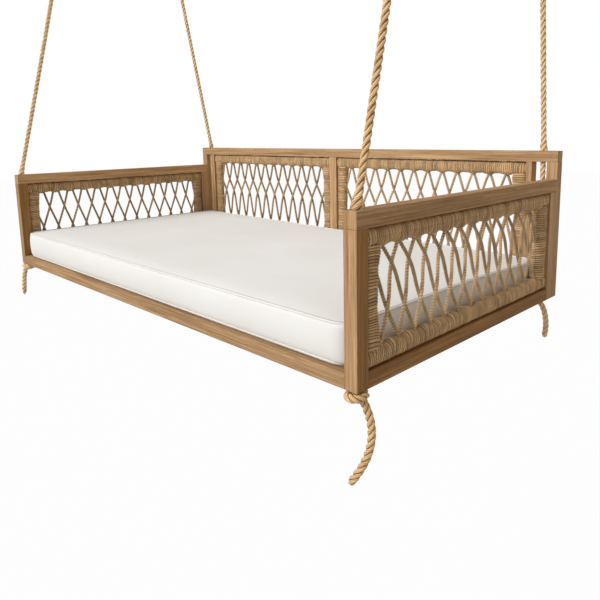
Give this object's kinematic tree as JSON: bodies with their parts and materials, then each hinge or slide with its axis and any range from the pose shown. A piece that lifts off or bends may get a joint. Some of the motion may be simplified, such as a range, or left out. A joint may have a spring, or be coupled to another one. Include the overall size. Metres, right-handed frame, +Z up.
{
  "type": "hanging daybed swing",
  "caption": "Wooden daybed swing with corded side and back panels and a box mattress, hung from ceiling eye bolts on twisted ropes.",
  "frame": {"origin": "centre of the rectangle of four hook studs, in the plane of the ceiling", "axes": "+X along the bed, +Y towards the back rest, +Z up out of the ceiling hooks"},
  "size_m": [2.0253, 1.0584, 1.7627],
  "materials": {
    "frame_wood": "satin",
    "deck_wood": "matte",
    "winding_cord": "matte",
    "lattice_cord": "matte",
    "rope": "matte",
    "mattress_cloth": "matte",
    "steel": "satin"
  },
  "bodies": {
    "ceiling_hooks": {"ceiling_hook_back_left": "steel", "ceiling_hook_back_right": "steel", "ceiling_hook_front_left": "steel", "ceiling_hook_front_right": "steel"},
    "front_ropes": {"rope_front_left": "rope", "rope_front_right": "rope", "thimbles_front": "steel"},
    "bed": {"arm_bottom_rail_left": "frame_wood", "arm_bottom_rail_right": "frame_wood", "arm_rear_stile_left": "frame_wood", "arm_rear_stile_right": "frame_wood", "arm_top_rail_left": "frame_wood", "arm_top_rail_right": "frame_wood", "back_bottom_rail": "frame_wood", "back_centre_post": "frame_wood", "back_post_left": "frame_wood", "back_post_right": "frame_wood", "back_stile_left": "frame_wood", "back_stile_right": "frame_wood", "back_top_rail": "frame_wood", "bracket_screws": "steel", "core_arm_left": "deck_wood", "core_arm_right": "deck_wood", "core_back_left": "deck_wood", "core_back_right": "deck_wood", "corner_brackets": "steel", "deck_centre_batten": "deck_wood", "deck_ledgers": "deck_wood", "deck_screws": "steel", "deck_slats": "deck_wood", "frame_bolts": "steel", "frame_dowels": "deck_wood", "front_post_left": "frame_wood", "front_post_right": "frame_wood", "front_rail": "frame_wood", "knot_back_left": "rope", "knot_back_right": "rope", "knot_front_left": "rope", "knot_front_right": "rope", "lattice_arm_left": "lattice_cord", "lattice_arm_right": "lattice_cord", "lattice_back_left": "lattice_cord", "lattice_back_right": "lattice_cord", "panel_pins": "steel", "rope_in_frame_back_left": "rope", "rope_in_frame_back_right": "rope", "rope_in_frame_front_left": "rope", "rope_in_frame_front_right": "rope", "tail_back_left": "rope", "tail_back_right": "rope", "tail_front_left": "rope", "tail_front_right": "rope", "wrap_arm_left": "winding_cord", "wrap_arm_right": "winding_cord", "wrap_back_left": "winding_cord", "wrap_back_right": "winding_cord"},
    "back_ropes": {"rope_back_left": "rope", "rope_back_right": "rope", "thimbles_back": "steel"},
    "mattress": {"mattress": "mattress_cloth"}
  },
  "joints": [
    {"name": "swing", "type": "hinge", "parent": "ceiling_hooks", "child": "front_ropes", "pos_m": [0, -0.293, -0.065], "axis": [1, 0, 0], "range_deg": [-9, 9]},
    {"name": "bed_on_front_ropes", "type": "hinge", "parent": "front_ropes", "child": "bed", "pos_m": [0, -0.546, -1.077], "axis": [1, 0, 0], "range_deg": [-6, 6]},
    {"name": "back_ropes_on_bed", "type": "hinge", "parent": "bed", "child": "back_ropes", "pos_m": [0, 0.4485, -0.985], "axis": [1, 0, 0], "range_deg": [-6.5, 6.5]},
    {"name": "mattress_lift", "type": "slide", "parent": "bed", "child": "mattress", "axis": [0, 0, 1], "range_m": [0, 0.25]}
  ],
  "couplings": [
    {"joint": "bed_on_front_ropes", "follows": "swing", "ratio": -0.5802},
    {"joint": "back_ropes_on_bed", "follows": "swing", "ratio": 0.6384}
  ]
}
